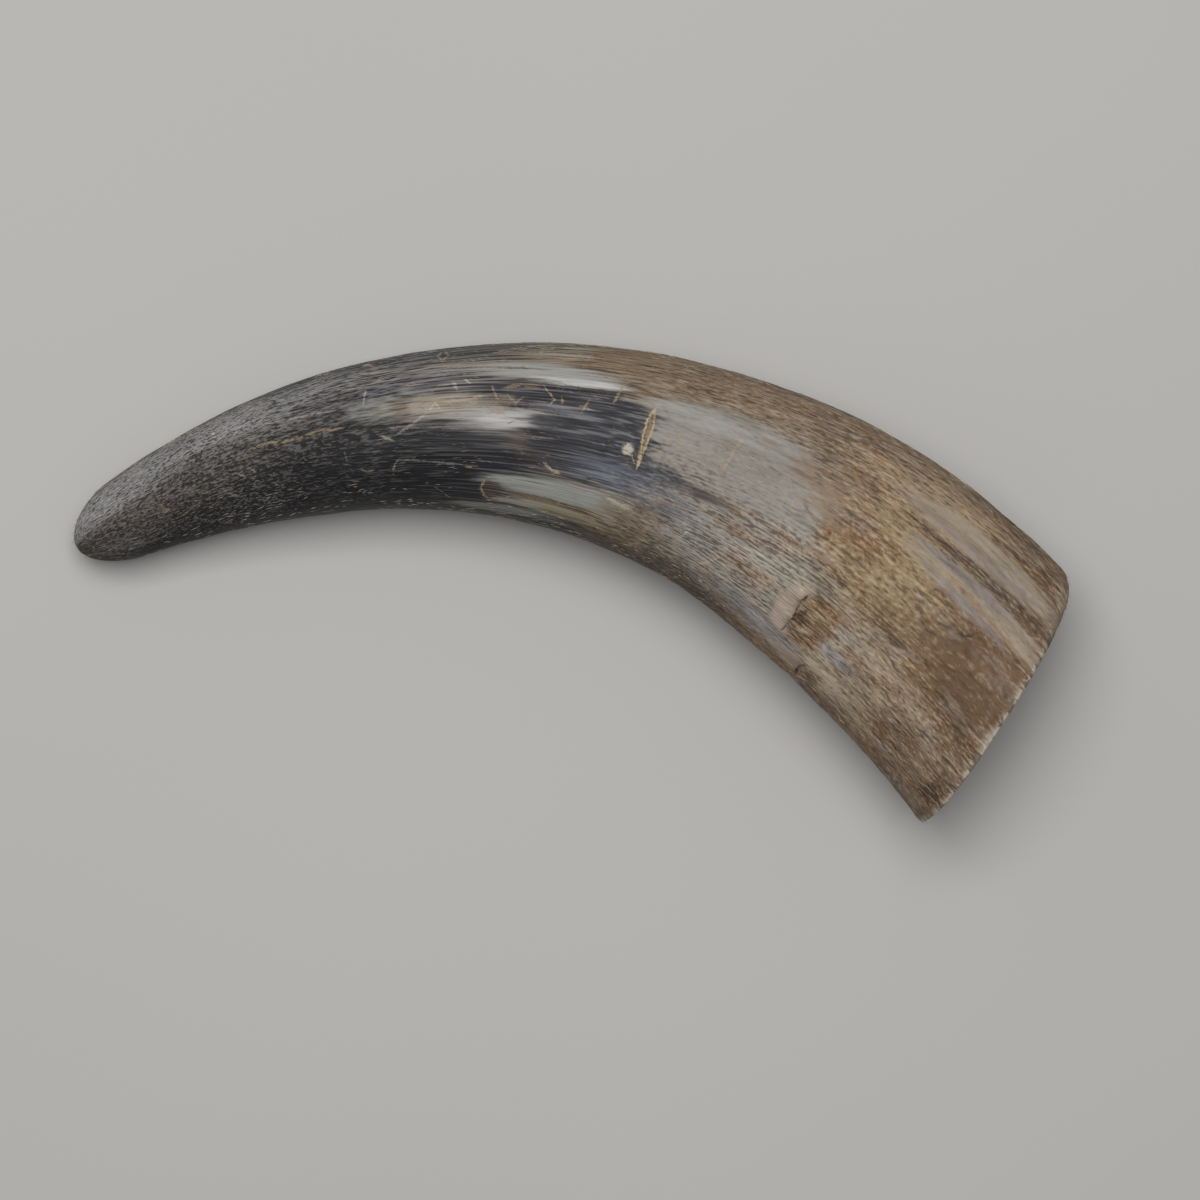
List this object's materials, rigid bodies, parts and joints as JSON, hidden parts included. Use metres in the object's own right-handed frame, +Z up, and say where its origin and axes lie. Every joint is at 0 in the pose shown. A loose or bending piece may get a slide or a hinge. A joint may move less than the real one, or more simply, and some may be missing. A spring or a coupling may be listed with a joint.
{
  "type": "buffalo horn",
  "caption": "A curved, blunt-tipped water buffalo horn, sawn off slantwise at its hollow base, rasped and weathered, lying on its side.",
  "frame": {"origin": "the middle of the bounding box's underside, on the surface that the horn lies on", "axes": "X runs along the horn's length from the tip at -X to the sawn base at +X, Y is across it with the back of the bend towards +Y, and Z is up from the surface that the horn lies on"},
  "size_m": [0.2426, 0.1164, 0.0523],
  "materials": {
    "horn": "dull to satin rasped horn: charcoal at the tip, near-black and pale grey-green patches in the middle, streaked tan-brown towards the base"
  },
  "bodies": {
    "root": {"horn": "horn"}
  },
  "joints": []
}
